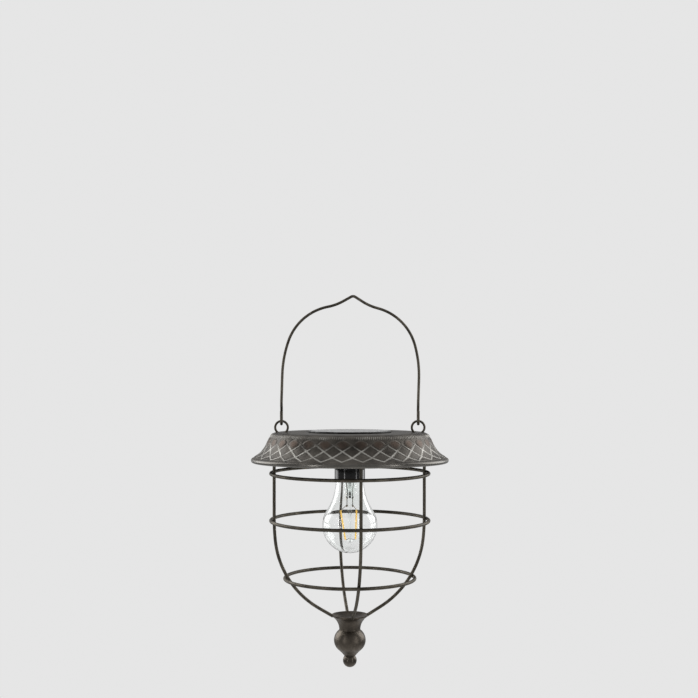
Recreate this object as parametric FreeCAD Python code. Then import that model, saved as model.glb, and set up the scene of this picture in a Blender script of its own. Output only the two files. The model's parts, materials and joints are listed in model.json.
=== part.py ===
import FreeCAD, Part

import math
import os

from FreeCAD import Vector

# A hanging solar lantern, in millimetres. +Z is up and -Y is the lantern's front.
# The origin is the hanging point: the inside top of the bail's peak, where a hook carries it.
# The bail leans a little, so the lantern's own axis stands PEAK_OFFSET to the left of the origin.
# Every part of the lantern is drawn about the z axis first, and moved to that axis at the end.

# --- Bail: one bent wire, hung by its peak ---
BAIL_WIRE = 3.0
BAIL_HALF_WIDTH = 74.6
BAIL_LEAN = 1.8
PEAK_OFFSET = 3.7
PEAK_RADIUS = 4.5
PEAK_SLOPE = 31.0
SADDLE_RADIUS = 57.0
SADDLE_TURN = 18.2
SHOULDER_RADIUS = 57.0
SHOULDER_TURN = 59.9
LEG_RADIUS = 124.0
LEG_FOOT_RADIUS = 60.0
HINGE_Z = -134.6
HOOK_RADIUS = 3.25
HOOK_RETURN = 11.0
JOG_RADIUS = 12.0
JOG_TOP_Z = -114.0

# --- Wire eyes that the bail hooks into ---
EYE_WIRE = 2.5
EYE_RADIUS = 6.9
EYE_X = 74.5
EYE_GAP = 36.0

# --- Canopy: one pressed sheet with a curled rim ---
SHEET = 0.8
CANOPY_TIP = 1.2
ROOF_TOP_Z = -146.8
ROOF_HOLE_R = 39.6
ROOF_FLAT_R = 79.95
ROOF_SHOULDER_R = 7.4
SKIRT_SLOPE = 64.0
SKIRT_RUN = 10.1
SKIRT_FLARE_R = 30.5
SKIRT_END_SLOPE = 24.0
CURL_RADIUS = 2.7
CURL_TURN = 290.0

# --- Cage: four ribs inside three hoops ---
RIB_WIRE = 3.5
HOOP_WIRE = 3.7
WELD_SINK = 0.25
CAGE_TURN = 8.0
RIB_RADIUS = 82.7
RIB_TOP_Z = -148.9
RIB_BEND_Z = -239.0
RIB_UPPER_RADIUS = 241.6
RIB_UPPER_TURN = 5.6
RIB_LOWER_RADIUS = 98.9
RIB_LOWER_TURN = 53.5
RIB_TAIL = 17.9
HOOP_TOP_Z = -191.4
HOOP_MIDDLE_Z = -242.7
HOOP_BOTTOM_Z = -305.6

# --- Finial: cup, turned ball and tip on one stud ---
CUP_TOP_Z = -345.5
CUP_RIM_EDGE = 1.5
CUP_DISH = 4.0
FINIAL_NECK_R = 11.5
CUP_FLARE_R = 17.8
BALL_TOP_Z = -362.0
BALL_R = 17.3
BALL_UPPER_R = 13.9
BALL_LOWER_R = 13.5
BALL_LOWER_TURN = 50.0
BALL_TAIL_TURN = 12.0
BALL_BASE_Z = -390.3
TIP_R = 7.5
TIP_Z = -395.4
STUD_R = 3.0
STUD_TOP_Z = -350.5
STUD_LENGTH = 45.0

# --- Solar module let into the canopy ---
SEAL_THICK = 0.5
FLANGE_R = 45.0
FLANGE_THICK = 1.3
FLANGE_EDGE = 0.5
WINDOW_R = 42.5
WINDOW_THICK = 0.6
CELL_SIZE = 45.0
CELL_THICK = 0.4
CELL_GAP = 0.25
BODY_R = 39.0
BODY_WALL = 1.6
FLOOR_THICK = 1.5
HOUSING_DEPTH = 13.0
COVER_DEPTH = 11.0
COVER_FLOOR = 2.0
RING_OUTER_R = 44.0
RING_HEIGHT = 4.0
RING_GAP = 0.1
RING_GRIPS = 12
RING_GRIP_R = 2.4
RING_GRIP_OUT = 1.0
RING_GRIP_LIP = 1.0
COVER_EDGE = 1.5
LAMP_WIRE_HOLE_R = 4.0

# --- Inside the module ---
SCREW_ANGLES = (-20.0, -90.0, 200.0)
SCREW_CIRCLE_R = 33.0
SCREW_R = 1.25
SCREW_HEAD_R = 2.6
SCREW_HEAD = 1.4
SCREW_LENGTH = 10.0
SCREW_HEAD_GAP = 0.2
SCREW_SLOT_LENGTH = 2.6
SCREW_SLOT_WIDTH = 0.6
SCREW_SLOT_DEPTH = 0.7
BOSS_R = 3.2
BATTERY_Y = 22.8
BATTERY_R = 5.25
BATTERY_LENGTH = 44.5
BATTERY_CAP_R = 1.9
CONTACT_WIDTH = 7.0
CONTACT_THICK = 0.4
CONTACT_GAP = 0.2
LEAF_WIDTH = 6.0
LEAF_HEIGHT = 7.2
LEAF_BOW = 2.2
LEAF_THICK = 0.3
DOOR_LENGTH = 46.0
DOOR_WIDTH = 11.6
DOOR_GAP = 0.2
DOOR_LIP = 1.2
BOARD_LENGTH = 42.0
BOARD_WIDTH = 17.0
BOARD_THICK = 1.6
BOARD_Y = -17.5
COIL_X = -14.0
COIL_R = 3.0
COIL_HEIGHT = 5.0
CHIP_X = -2.0
CHIP_LENGTH = 5.0
CHIP_WIDTH = 4.0
CHIP_HEIGHT = 1.5
CAPACITOR_R = 2.0
CAPACITOR_HEIGHT = 6.0
CAPACITOR_PLACES = ((8.0, 2.5), (14.0, -1.5))
SWITCH_Y = -22.0
SWITCH_TRAVEL = 4.0
KNOB_LENGTH = 4.0
KNOB_WIDTH = 2.6
KNOB_GAP = 0.4
KNOB_PROUD = 2.2
KNOB_TOP_GAP = 1.2
KNOB_GROOVE = 0.5
KNOB_GROOVE_DEPTH = 0.4
KNOB_GROOVE_PITCH = 1.2
SWITCH_CASE_DEPTH = 3.2
SWITCH_CASE_ROOF = 0.8
SWITCH_CASE_END = 1.0
SWITCH_CASE_SIDE = 0.5

# --- Lamp holder and bulb ---
HOLDER_R = 16.6
HOLDER_BOTTOM_Z = -200.5
HOLDER_EDGE = 0.5
HOLDER_MOUTH_R = 15.8
HOLDER_MOUTH = 9.0
HOLDER_BORE_R = 13.5
HOLDER_TOP_WALL = 2.5
CAP_R = 13.0
CAP_LENGTH = 18.0
CAP_THREAD_PITCH = 3.6
BULB_R = 30.0
BULB_Z = -248.0
NECK_R = 15.2
NECK_RISE = 50.0
NECK_RUN = 0.5
GLASS = 0.9
STEM_TOP_R = 8.2
STEM_LOW_R = 5.0
STEM_WALL = 1.2
PINCH_TOP_Z = -215.0
PINCH_BOTTOM_Z = -226.0
PINCH_WIDTH = 10.0
PINCH_THICK = 4.0
ROD_R = 2.0
ROD_BOTTOM_Z = -264.0
ROD_BEAD = 0.6
FILAMENT_R = 0.85
LEAD_R = 0.3
LEAD_FOOT_X = 3.2
LEFT_FILAMENT = ((-10.0, -1.5, -232.0), (-4.8, -1.5, -263.4))
RIGHT_FILAMENT = ((7.3, 1.5, -231.5), (6.2, 1.5, -263.2))


def run(length):
    """One straight stretch of a traced path."""
    return ("run", length, 0.0)


def bend(radius, degrees):
    """One round stretch of a traced path: a positive angle turns it to the left."""
    return ("bend", radius, degrees)


def trace(start, heading, moves):
    """Follow moves from start at heading, in degrees, and give the arcs' and lines' points."""
    u, v = start
    angle = math.radians(heading)
    pieces = []
    for kind, size, degrees in moves:
        first = (u, v)
        if kind == "run":
            u += size * math.cos(angle)
            v += size * math.sin(angle)
            pieces.append((first, (u, v)))
            continue
        turn = math.radians(degrees)
        side = math.copysign(size, turn)
        centre = (u - side * math.sin(angle), v + side * math.cos(angle))
        middle_angle = angle + turn / 2.0
        angle += turn
        middle = (centre[0] + side * math.sin(middle_angle), centre[1] - side * math.cos(middle_angle))
        u = centre[0] + side * math.sin(angle)
        v = centre[1] - side * math.cos(angle)
        pieces.append((first, middle, (u, v)))
    return pieces


def trace_end(pieces):
    """The last point of a traced path."""
    return pieces[-1][-1]


def in_rz(point):
    """Radius and height, as a point of the XZ half plane."""
    return Vector(point[0], 0.0, point[1])


def edges_of(pieces, place):
    """Turn traced lines and arcs into edges, with place giving each point's position in space."""
    edges = []
    for piece in pieces:
        points = [place(point) for point in piece]
        if len(points) == 2:
            edges.append(Part.makeLine(points[0], points[1]))
        else:
            edges.append(Part.Arc(points[0], points[1], points[2]).toShape())
    return edges


def shifted(moves, thickness):
    """The same moves for a line that keeps thickness to the right of the first one."""
    result = []
    for kind, size, degrees in moves:
        if kind == "run":
            result.append((kind, size, degrees))
        else:
            result.append((kind, size + thickness * math.copysign(1.0, degrees), degrees))
    return result


def revolve(face):
    """Turn a face in the XZ half plane round the lantern's axis."""
    return face.revolve(Vector(0, 0, 0), Vector(0, 0, 1), 360)


def sheet_face(start, heading, moves, thickness):
    """The section of a sheet whose one side follows the moves, with its thickness on their right."""
    angle = math.radians(heading)
    inner_start = (start[0] + thickness * math.sin(angle), start[1] - thickness * math.cos(angle))
    outer = trace(start, heading, moves)
    inner = trace(inner_start, heading, shifted(moves, thickness))
    edges = edges_of(outer, in_rz)
    edges.append(Part.makeLine(in_rz(trace_end(outer)), in_rz(trace_end(inner))))
    edges += edges_of(inner, in_rz)
    edges.append(Part.makeLine(in_rz(inner_start), in_rz(start)))
    return Part.Face(Part.Wire(Part.__sortEdges__(edges)))


def revolved_profile(pieces):
    """A revolved solid from the pieces of a closed outline."""
    edges = edges_of(pieces, in_rz)
    return revolve(Part.Face(Part.Wire(Part.__sortEdges__(edges))))


def polygon(points):
    """Straight pieces through the given radius and height points."""
    return [(points[i], points[i + 1]) for i in range(len(points) - 1)]


def cylinder(radius, z_low, z_high, x=0.0, y=0.0):
    """A round bar along Z between two heights."""
    return Part.makeCylinder(radius, z_high - z_low, Vector(x, y, z_low), Vector(0, 0, 1))


def tube(outer, inner, z_low, z_high):
    """A tube round the lantern's axis."""
    return cylinder(outer, z_low, z_high).cut(cylinder(inner, z_low, z_high))


def block(x_size, y_size, z_low, z_high, x=0.0, y=0.0):
    """A box centred on x and y between two heights."""
    corner = Vector(x - x_size / 2.0, y - y_size / 2.0, z_low)
    return Part.makeBox(x_size, y_size, z_high - z_low, corner)


def wire_along(edges, diameter, start, direction):
    """A round wire of one diameter along edges, from start where it heads along direction."""
    section = Part.Wire(Part.makeCircle(diameter / 2.0, start, direction))
    return Part.Wire(edges).makePipeShell([section], True, False)


def bar(start, end, radius):
    """A straight round bar between two points."""
    along = end - start
    return Part.makeCylinder(radius, along.Length, start, along)


def save(name, shape):
    """Write one node."""
    shape.exportStep("parts/" + name + ".step")


# --- Bail and eyes ---

def two_runs(gap, first, second):
    """Lengths of two runs, at these two headings, that cover a gap together."""
    first, second = math.radians(first), math.radians(second)
    turn = math.sin(second - first)
    return (
        (gap[0] * math.sin(second) - gap[1] * math.cos(second)) / turn,
        (gap[1] * math.cos(first) - gap[0] * math.sin(first)) / turn,
    )


def bail_half(side):
    """The left (-1) or right (1) half of the bail, drawn to the right, from its peak to its hook's end."""
    lean = side * BAIL_LEAN

    def arch(slope_run, leg_run):
        return [
            bend(PEAK_RADIUS, -PEAK_SLOPE),
            run(slope_run),
            bend(SADDLE_RADIUS, SADDLE_TURN),
            bend(SHOULDER_RADIUS, -SHOULDER_TURN),
            bend(LEG_RADIUS, -(90.0 - PEAK_SLOPE + SADDLE_TURN - SHOULDER_TURN)),
            run(leg_run),
            bend(LEG_FOOT_RADIUS, lean),
        ]

    start = (0.0, BAIL_WIRE / 2.0)
    foot = (BAIL_HALF_WIDTH - side * PEAK_OFFSET, JOG_TOP_Z)
    bends = [move for move in arch(0.0, 0.0) if move != run(0.0)]
    short = trace_end(trace(start, -lean, bends))
    gap = (foot[0] - short[0], foot[1] - short[1])
    front = trace(start, -lean, arch(*two_runs(gap, -lean - PEAK_SLOPE, -90.0 - lean)))

    jog_turn = math.degrees(math.acos(1.0 - HOOK_RADIUS / (2.0 * JOG_RADIUS)))
    jog_height = 2.0 * JOG_RADIUS * math.sin(math.radians(jog_turn))
    hook = trace((0.0, JOG_TOP_Z), -90.0, [
        bend(JOG_RADIUS, jog_turn),
        bend(JOG_RADIUS, -jog_turn),
        run(JOG_TOP_Z - jog_height - HINGE_Z),
        bend(HOOK_RADIUS, -180.0),
        run(HOOK_RETURN),
    ])
    edges = edges_of(front, in_rz)
    edges += edges_of(hook, lambda point: Vector(foot[0], point[0], point[1]))
    along = Vector(math.cos(math.radians(lean)), 0, -math.sin(math.radians(lean)))
    return wire_along(edges, BAIL_WIRE, Vector(0, 0, start[1]), along)


def bail_wire():
    """The whole bail: two halves that meet at the peak."""
    left = bail_half(-1).mirror(Vector(0, 0, 0), Vector(1, 0, 0))
    return bail_half(1).fuse(left).removeSplitter()


def eye(side):
    """A wire eye with its open ends below the canopy; side is -1 on the left and 1 on the right."""
    centre_z = HINGE_Z - EYE_RADIUS
    first = -90.0 + EYE_GAP / 2.0
    angle = math.radians(first)
    start = (side * EYE_X + EYE_RADIUS * math.cos(angle), centre_z + EYE_RADIUS * math.sin(angle))
    pieces = trace(start, first + 90.0, [bend(EYE_RADIUS, 180.0), bend(EYE_RADIUS, 180.0 - EYE_GAP)])
    heading = Vector(-math.sin(angle), 0.0, math.cos(angle))
    return wire_along(edges_of(pieces, in_rz), EYE_WIRE, in_rz(start), heading)


# --- Canopy ---

def roof_cap():
    """The canopy: a flat top with the module's hole, a round shoulder, a flared skirt and a curl."""
    moves = [
        run(ROOF_FLAT_R - ROOF_HOLE_R),
        bend(ROOF_SHOULDER_R, -SKIRT_SLOPE),
        run(SKIRT_RUN),
        bend(SKIRT_FLARE_R, SKIRT_SLOPE - SKIRT_END_SLOPE),
        bend(CURL_RADIUS, -CURL_TURN),
    ]
    return revolve(sheet_face((ROOF_HOLE_R, ROOF_TOP_Z), 0.0, moves, SHEET))


# --- Cage ---

def rib_moves(top_z):
    """The runs and bends of a rib, from its top down to the finial cup's rim."""
    return [
        run(top_z - RIB_BEND_Z),
        bend(RIB_UPPER_RADIUS, -RIB_UPPER_TURN),
        bend(RIB_LOWER_RADIUS, -RIB_LOWER_TURN),
        run(RIB_TAIL),
    ]


def rib(azimuth):
    """One cage wire, from under the tipped canopy's shoulder to the finial cup's rim."""
    lift = -RIB_RADIUS * math.sin(math.radians(azimuth)) * math.sin(math.radians(CANOPY_TIP))
    top_z = RIB_TOP_Z + lift
    edges = edges_of(trace((RIB_RADIUS, top_z), -90.0, rib_moves(top_z)), in_rz)
    shape = wire_along(edges, RIB_WIRE, Vector(RIB_RADIUS, 0, top_z), Vector(0, 0, -1))
    return shape.rotate(Vector(0, 0, 0), Vector(0, 0, 1), azimuth)


def hoop(z):
    """A welded ring that lies against the outside of the ribs at height z."""
    reach = (RIB_WIRE + HOOP_WIRE) / 2.0 - WELD_SINK
    outside = trace((RIB_RADIUS + reach, RIB_TOP_Z), -90.0, shifted(rib_moves(RIB_TOP_Z), -reach))
    level = Part.makeLine(Vector(0, 0, z), Vector(2.0 * RIB_RADIUS, 0, z))
    crossing = Part.Wire(edges_of(outside, in_rz)).distToShape(level)[1][0][0]
    return Part.makeTorus(crossing.x, HOOP_WIRE / 2.0, Vector(0, 0, z))


# --- Finial ---

def stud_room():
    """The space that the finial's stud takes up."""
    return cylinder(STUD_R, STUD_TOP_Z - STUD_LENGTH, STUD_TOP_Z)


def finial_cup():
    """The trumpet-shaped cup that the ribs end on, with a shallow dish on top."""
    rise = CUP_TOP_Z - CUP_RIM_EDGE - BALL_TOP_Z
    turn = math.degrees(math.asin(rise / CUP_FLARE_R))
    flare = trace((FINIAL_NECK_R, BALL_TOP_Z), 90.0, [bend(CUP_FLARE_R, -turn)])
    rim = trace_end(flare)
    dish_r = rim[0] - CUP_RIM_EDGE
    hollow_r = (dish_r ** 2 + CUP_DISH ** 2) / (2.0 * CUP_DISH)
    dish_turn = math.degrees(math.asin(dish_r / hollow_r))
    dish = trace((0.0, CUP_TOP_Z - CUP_DISH), 0.0, [bend(hollow_r, dish_turn)])
    pieces = flare + polygon([rim, (rim[0], CUP_TOP_Z), trace_end(dish)]) + dish
    pieces += polygon([dish[0][0], (0.0, BALL_TOP_Z), (FINIAL_NECK_R, BALL_TOP_Z)])
    return revolved_profile(pieces).cut(stud_room())


def finial_ball():
    """The turnip-shaped ball, widest in the middle and drawn in to a thin neck."""
    upper_turn = math.degrees(math.acos(1.0 - (BALL_R - FINIAL_NECK_R) / BALL_UPPER_R))
    upper = trace((FINIAL_NECK_R, BALL_TOP_Z), -90.0 + upper_turn, [
        bend(BALL_UPPER_R, -upper_turn),
        bend(BALL_LOWER_R, -BALL_LOWER_TURN),
    ])
    end = trace_end(upper)
    drop = end[1] - BALL_BASE_Z
    slope = math.radians(BALL_LOWER_TURN)
    tail_slope = math.radians(BALL_LOWER_TURN - BALL_TAIL_TURN)
    tail_radius = drop / (math.sin(slope) - math.sin(tail_slope))
    tail = trace(end, -90.0 - BALL_LOWER_TURN, [bend(tail_radius, BALL_TAIL_TURN)])
    neck = trace_end(tail)
    pieces = upper + tail
    pieces += polygon([neck, (0.0, neck[1]), (0.0, BALL_TOP_Z), (FINIAL_NECK_R, BALL_TOP_Z)])
    return revolved_profile(pieces).cut(stud_room())


def finial_tip():
    """The small ball at the bottom, cut flat where it meets the neck."""
    ball = Part.makeSphere(TIP_R, Vector(0, 0, TIP_Z))
    above = cylinder(TIP_R, BALL_BASE_Z, TIP_Z + TIP_R + 1.0)
    return ball.cut(above).cut(stud_room())


# --- Solar module ---

def module_top():
    """Height of the module's upper face."""
    return ROOF_TOP_Z + SEAL_THICK + FLANGE_THICK


def split_z():
    """Height where the module's upper shell meets its cover."""
    return ROOF_TOP_Z + SEAL_THICK - HOUSING_DEPTH


def cover_z():
    """Height of the cover's underside."""
    return split_z() - COVER_DEPTH


def screw_places():
    """Where the three housing screws stand."""
    for angle in SCREW_ANGLES:
        turn = math.radians(angle)
        yield SCREW_CIRCLE_R * math.cos(turn), SCREW_CIRCLE_R * math.sin(turn)


def module_housing():
    """The upper shell: a flange that rests on the canopy, a floor under the cell and a round wall."""
    top = module_top()
    low = ROOF_TOP_Z + SEAL_THICK
    shell = cylinder(FLANGE_R, low, top)
    rim = [edge for edge in shell.Edges if abs(edge.BoundBox.ZMin - top) < 1e-6
           and abs(edge.BoundBox.ZMax - top) < 1e-6]
    shell = shell.makeFillet(FLANGE_EDGE, rim)
    shell = shell.fuse(cylinder(BODY_R, split_z(), low)).removeSplitter()
    floor = top - WINDOW_THICK - CELL_THICK - FLOOR_THICK
    shell = shell.cut(cylinder(BODY_R - BODY_WALL, split_z(), floor))
    shell = shell.cut(cylinder(WINDOW_R, top - WINDOW_THICK, top))
    pocket = CELL_SIZE + 2.0 * CELL_GAP
    shell = shell.cut(block(pocket, pocket, top - WINDOW_THICK - CELL_THICK, top))
    for x, y in screw_places():
        shell = shell.fuse(cylinder(BOSS_R, split_z(), floor, x, y))
        shell = shell.cut(cylinder(SCREW_R, cover_z(), cover_z() + SCREW_HEAD + SCREW_LENGTH, x, y))
    return shell.removeSplitter()


def solar_cell():
    """The square cell in its pocket under the window."""
    top = module_top() - WINDOW_THICK
    return block(CELL_SIZE, CELL_SIZE, top - CELL_THICK, top)


def solar_window():
    """The clear round cover over the cell, flush with the flange."""
    return cylinder(WINDOW_R, module_top() - WINDOW_THICK, module_top())


def module_seal():
    """The flat rubber ring between the flange and the canopy."""
    return tube(FLANGE_R - 1.0, ROOF_HOLE_R, ROOF_TOP_Z, ROOF_TOP_Z + SEAL_THICK)


def retaining_ring():
    """The ring nut that pulls the module down from inside the canopy, with finger grips."""
    top = ROOF_TOP_Z - SHEET
    ring = tube(RING_OUTER_R, BODY_R + RING_GAP, top - RING_HEIGHT, top)
    for index in range(RING_GRIPS):
        turn = math.radians(360.0 / RING_GRIPS * index)
        x = (RING_OUTER_R + RING_GRIP_OUT) * math.cos(turn)
        y = (RING_OUTER_R + RING_GRIP_OUT) * math.sin(turn)
        ring = ring.cut(cylinder(RING_GRIP_R, top - RING_HEIGHT, top - RING_GRIP_LIP, x, y))
    return ring


def housing_cover():
    """The lower shell: round wall, floor with the battery's window, the switch's slot and screw posts."""
    low = cover_z()
    cover = cylinder(BODY_R, low, split_z())
    edge = [e for e in cover.Edges if abs(e.BoundBox.ZMax - low) < 1e-6]
    cover = cover.makeFillet(COVER_EDGE, edge)
    cover = cover.cut(cylinder(BODY_R - BODY_WALL, low + COVER_FLOOR, split_z()))
    for x, y in screw_places():
        cover = cover.fuse(cylinder(BOSS_R, low + COVER_FLOOR / 2.0, split_z(), x, y))
    for x, y in screw_places():
        cover = cover.cut(cylinder(SCREW_R, low, split_z(), x, y))
        cover = cover.cut(cylinder(SCREW_HEAD_R, low, low + SCREW_HEAD, x, y))
    window_length = DOOR_LENGTH - 2.0 * DOOR_LIP
    window_width = DOOR_WIDTH - 2.0 * DOOR_LIP
    cover = cover.cut(block(DOOR_LENGTH, DOOR_WIDTH, low, low + DOOR_LIP, 0.0, BATTERY_Y))
    cover = cover.cut(block(window_length, window_width, low, low + COVER_FLOOR, 0.0, BATTERY_Y))
    slot_length = SWITCH_TRAVEL + KNOB_LENGTH + 2.0 * KNOB_GAP
    slot_width = KNOB_WIDTH + 2.0 * KNOB_GAP
    cover = cover.cut(block(slot_length, slot_width, low, low + COVER_FLOOR, 0.0, SWITCH_Y))
    cover = cover.cut(cylinder(LAMP_WIRE_HOLE_R, low, low + COVER_FLOOR))
    return cover.removeSplitter()


def screw(x, y, z_low):
    """One pan-head screw that points up from z_low, with a cross recess in its head."""
    head = cylinder(SCREW_HEAD_R - SCREW_HEAD_GAP, z_low, z_low + SCREW_HEAD, x, y)
    shank = cylinder(SCREW_R, z_low + SCREW_HEAD, z_low + SCREW_HEAD + SCREW_LENGTH, x, y)
    body = head.fuse(shank).removeSplitter()
    slot = (SCREW_SLOT_LENGTH, SCREW_SLOT_WIDTH)
    for x_size, y_size in (slot, slot[::-1]):
        body = body.cut(block(x_size, y_size, z_low, z_low + SCREW_SLOT_DEPTH, x, y))
    return body


def housing_screws():
    """Three screws that hold the cover to the upper shell."""
    return Part.makeCompound([screw(x, y, cover_z()) for x, y in screw_places()])


def battery_z():
    """Height of the battery's axis."""
    return cover_z() + COVER_FLOOR + BATTERY_R + 0.3


def battery_cell():
    """One round cell that lies along X above its door, with the small cap at its right end."""
    left = Vector(-BATTERY_LENGTH / 2.0, BATTERY_Y, battery_z())
    can = Part.makeCylinder(BATTERY_R, BATTERY_LENGTH - 1.0, left, Vector(1, 0, 0))
    cap = Part.makeCylinder(BATTERY_CAP_R, BATTERY_LENGTH, left, Vector(1, 0, 0))
    return can.fuse(cap).removeSplitter()


def battery_contact():
    """The flat plate at the battery's cap end."""
    x = BATTERY_LENGTH / 2.0 + CONTACT_GAP
    half = CONTACT_WIDTH / 2.0
    return block(CONTACT_THICK, CONTACT_WIDTH, battery_z() - half, battery_z() + half, x, BATTERY_Y)


def battery_spring():
    """The bowed leaf spring at the battery's flat end, with its edges against the bay's wall."""
    half_turn = math.degrees(2.0 * math.atan(LEAF_BOW / (LEAF_HEIGHT / 2.0)))
    bow_radius = LEAF_HEIGHT / 2.0 / math.sin(math.radians(half_turn))
    foot = (-BATTERY_LENGTH / 2.0 - LEAF_BOW, battery_z() - LEAF_HEIGHT / 2.0)
    heading = 90.0 - half_turn
    moves = [bend(bow_radius, 2.0 * half_turn)]
    face = sheet_face(foot, heading, moves, -LEAF_THICK)
    leaf = face.extrude(Vector(0, LEAF_WIDTH, 0))
    return leaf.translate(Vector(0, BATTERY_Y - LEAF_WIDTH / 2.0, 0))


def battery_door():
    """The plate that closes the battery's window."""
    low = cover_z()
    length = DOOR_LENGTH - 2.0 * DOOR_GAP
    width = DOOR_WIDTH - 2.0 * DOOR_GAP
    door = block(length, width, low, low + DOOR_LIP, 0.0, BATTERY_Y)
    for index in range(3):
        groove_x = -length / 2.0 + 4.0 + 1.8 * index
        door = door.cut(block(0.7, width - 4.0, low, low + 0.5, groove_x, BATTERY_Y))
    return door


def circuit_board():
    """The control board, on the far side of the module from the battery."""
    low = board_z()
    return block(BOARD_LENGTH, BOARD_WIDTH, low, low + BOARD_THICK, 0.0, BOARD_Y)


def board_z():
    """Height of the board's underside."""
    return cover_z() + COVER_FLOOR + 6.0


def board_parts():
    """The coil, the control chip and two round capacitors, which stand on the board."""
    low = board_z() + BOARD_THICK
    coil = cylinder(COIL_R, low, low + COIL_HEIGHT, COIL_X, BOARD_Y)
    chip = block(CHIP_LENGTH, CHIP_WIDTH, low, low + CHIP_HEIGHT, CHIP_X, BOARD_Y)
    capacitors = [
        cylinder(CAPACITOR_R, low, low + CAPACITOR_HEIGHT, x, BOARD_Y + y) for x, y in CAPACITOR_PLACES
    ]
    return Part.makeCompound([coil, chip] + capacitors)


def switch_frame():
    """The switch's metal case under the board, open below for the knob."""
    top = board_z()
    low = top - SWITCH_CASE_DEPTH
    length = SWITCH_TRAVEL + KNOB_LENGTH + 2.0 * KNOB_GAP
    width = KNOB_WIDTH + 2.0 * KNOB_GAP
    outside = (length + 2.0 * SWITCH_CASE_END, width + 2.0 * SWITCH_CASE_SIDE)
    frame = block(*outside, low, top, 0.0, SWITCH_Y)
    return frame.cut(block(length, width, low, top - SWITCH_CASE_ROOF, 0.0, SWITCH_Y))


def switch_knob():
    """The slider, at the off end of its travel, with grip grooves on the face a finger pushes."""
    x = -SWITCH_TRAVEL / 2.0
    low = cover_z() - KNOB_PROUD
    knob = block(KNOB_LENGTH, KNOB_WIDTH, low, board_z() - KNOB_TOP_GAP, x, SWITCH_Y)
    for index in (-1, 0, 1):
        groove_x = x + KNOB_GROOVE_PITCH * index
        knob = knob.cut(block(KNOB_GROOVE, KNOB_WIDTH, low, low + KNOB_GROOVE_DEPTH, groove_x, SWITCH_Y))
    return knob


# --- Lamp holder and bulb ---

def lamp_holder():
    """The round holder below the module: a wide mouth for the bulb's neck and a bore for its cap."""
    top = cover_z()
    holder = cylinder(HOLDER_R, HOLDER_BOTTOM_Z, top)
    edge = [e for e in holder.Edges if abs(e.BoundBox.ZMax - HOLDER_BOTTOM_Z) < 1e-6]
    holder = holder.makeFillet(HOLDER_EDGE, edge)
    holder = holder.cut(cylinder(HOLDER_MOUTH_R, HOLDER_BOTTOM_Z, HOLDER_BOTTOM_Z + HOLDER_MOUTH))
    holder = holder.cut(cylinder(HOLDER_BORE_R, HOLDER_BOTTOM_Z, top - HOLDER_TOP_WALL))
    return holder.cut(cylinder(LAMP_WIRE_HOLE_R, HOLDER_BOTTOM_Z, top))


def neck_top():
    """Height of the glass neck's end, inside the holder's mouth."""
    return BULB_Z + NECK_RISE + NECK_RUN


def bulb_glass():
    """The clear globe: a sphere that draws in through a hollow curve to a straight neck."""
    hollow = (BULB_R ** 2 - NECK_R ** 2 - NECK_RISE ** 2) / (2.0 * (NECK_R - BULB_R))
    turn = math.degrees(math.asin(NECK_RISE / (BULB_R + hollow)))
    moves = [
        bend(BULB_R, 90.0 + turn),
        bend(hollow, -turn),
        run(NECK_RUN),
    ]
    return revolve(sheet_face((0.0, BULB_Z - BULB_R), 0.0, moves, -GLASS))


def bulb_cap():
    """The bulb's metal screw cap: a shell with rolled threads that closes the neck's end."""
    low = neck_top()
    crest = 0.5
    threads = int(CAP_LENGTH / CAP_THREAD_PITCH)
    points = [(NECK_R - GLASS, low)]
    for index in range(threads):
        z = low + CAP_THREAD_PITCH * (index + 0.25)
        points.append((CAP_R - crest, z))
        points.append((CAP_R, z + CAP_THREAD_PITCH / 2.0))
    top = low + CAP_LENGTH + 0.5
    points += [(CAP_R - 2.0 * crest, top), (4.0, top + 1.5), (4.0, top + 2.5), (0.0, top + 2.5)]
    points += [(0.0, top), (CAP_R - 2.0, top - 1.0), (CAP_R - 2.0, low), (NECK_R - GLASS, low)]
    return revolved_profile(polygon(points))


def bulb_stem():
    """The glass inside: a flare tube, the flat pinch that holds the leads, and the long rod."""
    top = neck_top()
    flare = revolved_profile(polygon([
        (STEM_TOP_R, top), (STEM_LOW_R, PINCH_TOP_Z), (STEM_LOW_R - STEM_WALL, PINCH_TOP_Z),
        (STEM_TOP_R - STEM_WALL, top), (STEM_TOP_R, top),
    ]))
    pinch = block(PINCH_WIDTH, PINCH_THICK, PINCH_BOTTOM_Z, PINCH_TOP_Z)
    rod = cylinder(ROD_R, ROD_BOTTOM_Z, PINCH_BOTTOM_Z)
    bead = Part.makeSphere(ROD_R + ROD_BEAD, Vector(0, 0, ROD_BOTTOM_Z))
    return flare.fuse(pinch).fuse(rod).fuse(bead).removeSplitter()


def filament_ends(side):
    """Upper and lower end of the left (-1) or right (1) filament."""
    upper, lower = LEFT_FILAMENT if side < 0 else RIGHT_FILAMENT
    return Vector(*upper), Vector(*lower)


def filament(side):
    """One straight light-emitting filament."""
    upper, lower = filament_ends(side)
    return bar(upper, lower, FILAMENT_R)


def lead_wires():
    """The two leads, from the pinch out to the filaments' upper ends."""
    leads = []
    for side in (-1, 1):
        foot = Vector(side * LEAD_FOOT_X, 0.0, PINCH_BOTTOM_Z)
        leads.append(bar(foot, filament_ends(side)[0], LEAD_R).cut(filament(side)).cut(bulb_stem()))
    return Part.makeCompound(leads)


def support_wires():
    """The two supports, from the rod's bead out to the filaments' lower ends."""
    supports = []
    for side in (-1, 1):
        start = Vector(side * ROD_R / 2.0, 0.0, ROD_BOTTOM_Z)
        support = bar(start, filament_ends(side)[1], LEAD_R)
        supports.append(support.cut(filament(side)).cut(bulb_stem()))
    return Part.makeCompound(supports)


# --- The whole lantern ---

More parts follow.
